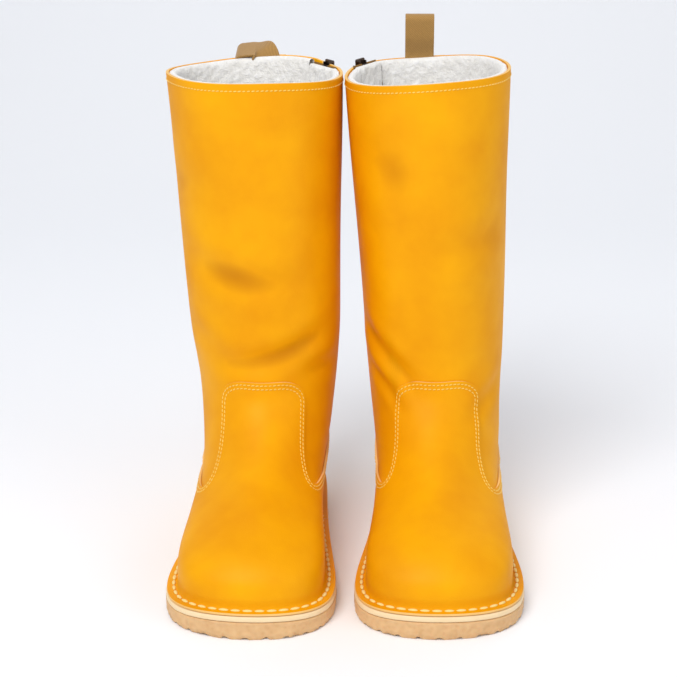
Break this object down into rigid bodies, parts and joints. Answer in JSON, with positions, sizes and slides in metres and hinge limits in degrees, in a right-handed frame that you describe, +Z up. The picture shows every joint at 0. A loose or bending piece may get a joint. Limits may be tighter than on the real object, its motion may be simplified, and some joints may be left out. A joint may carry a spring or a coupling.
{
  "type": "pair of tall leather boots",
  "caption": "Pair of knee-high stitched-down leather boots with crepe soles, fleece lining, inner side zips and webbing pull loops.",
  "frame": {"origin": "on the floor, at the middle of the pair's box", "axes": "+Z up, toes towards -Y, +X to the wearer's left"},
  "size_m": [0.2371, 0.2686, 0.354],
  "materials": {
    "leather_mustard": "smooth semi-matte mustard yellow nappa",
    "crepe": "matt natural crepe",
    "midsole_cream": "smooth cream edge",
    "leatherboard": "raw board",
    "fleece": "short off-white pile",
    "webbing": "tan twill webbing",
    "zip_tape": "woven tape",
    "zip_metal": "dark antique metal",
    "thread": "pale yellow waxed thread"
  },
  "bodies": {
    "left_boot": {"left_outsole": "crepe", "left_heel_wedge": "crepe", "left_midsole": "midsole_cream", "left_insole_board": "leatherboard", "left_footbed": "fleece", "left_vamp": "leather_mustard", "left_heel_counter": "leather_mustard", "left_back_strip": "leather_mustard", "left_shaft_front": "leather_mustard", "left_shaft_back": "leather_mustard", "left_heel_stiffener": "leatherboard", "left_toe_puff": "leatherboard", "left_foot_lining": "fleece", "left_shaft_lining": "fleece", "left_zip_guard": "fleece", "left_zip_tape_front": "zip_tape", "left_zip_tape_back": "zip_tape", "left_zip_teeth_front": "zip_metal", "left_zip_teeth_back": "zip_metal", "left_zip_stops": "zip_metal", "left_pull_loop": "webbing", "left_welt_stitches": "thread"},
    "left_slider": {"left_zip_slider": "zip_metal"},
    "left_pull": {"left_zip_pull": "zip_metal"},
    "right_boot": {"right_outsole": "crepe", "right_heel_wedge": "crepe", "right_midsole": "midsole_cream", "right_insole_board": "leatherboard", "right_footbed": "fleece", "right_vamp": "leather_mustard", "right_heel_counter": "leather_mustard", "right_back_strip": "leather_mustard", "right_shaft_front": "leather_mustard", "right_shaft_back": "leather_mustard", "right_heel_stiffener": "leatherboard", "right_toe_puff": "leatherboard", "right_foot_lining": "fleece", "right_shaft_lining": "fleece", "right_zip_guard": "fleece", "right_zip_tape_front": "zip_tape", "right_zip_tape_back": "zip_tape", "right_zip_teeth_front": "zip_metal", "right_zip_teeth_back": "zip_metal", "right_zip_stops": "zip_metal", "right_pull_loop": "webbing", "right_welt_stitches": "thread"},
    "right_slider": {"right_zip_slider": "zip_metal"},
    "right_pull": {"right_zip_pull": "zip_metal"}
  },
  "joints": [
    {"name": "pair_apart", "type": "slide", "parent": "left_boot", "child": "right_boot", "axis": [-1, 0, 0], "range_m": [0, 0.15]},
    {"name": "left_zip_slide", "type": "slide", "parent": "left_boot", "child": "left_slider", "axis": [0.0714, -0.014, -0.9973], "range_m": [0, 0.202]},
    {"name": "left_pull_swing", "type": "hinge", "parent": "left_slider", "child": "left_pull", "pos_m": [0.01007, 0.09507, 0.32027], "axis": [0.5379, 0.8426, 0.0267], "range_deg": [0, 170]},
    {"name": "right_zip_slide", "type": "slide", "parent": "right_boot", "child": "right_slider", "axis": [-0.0053, -0.0007, -1], "range_m": [0, 0.202]},
    {"name": "right_pull_swing", "type": "hinge", "parent": "right_slider", "child": "right_pull", "pos_m": [-0.00677, 0.08951, 0.32048], "axis": [0.5222, -0.8528, -0.0022], "range_deg": [0, 170]}
  ]
}
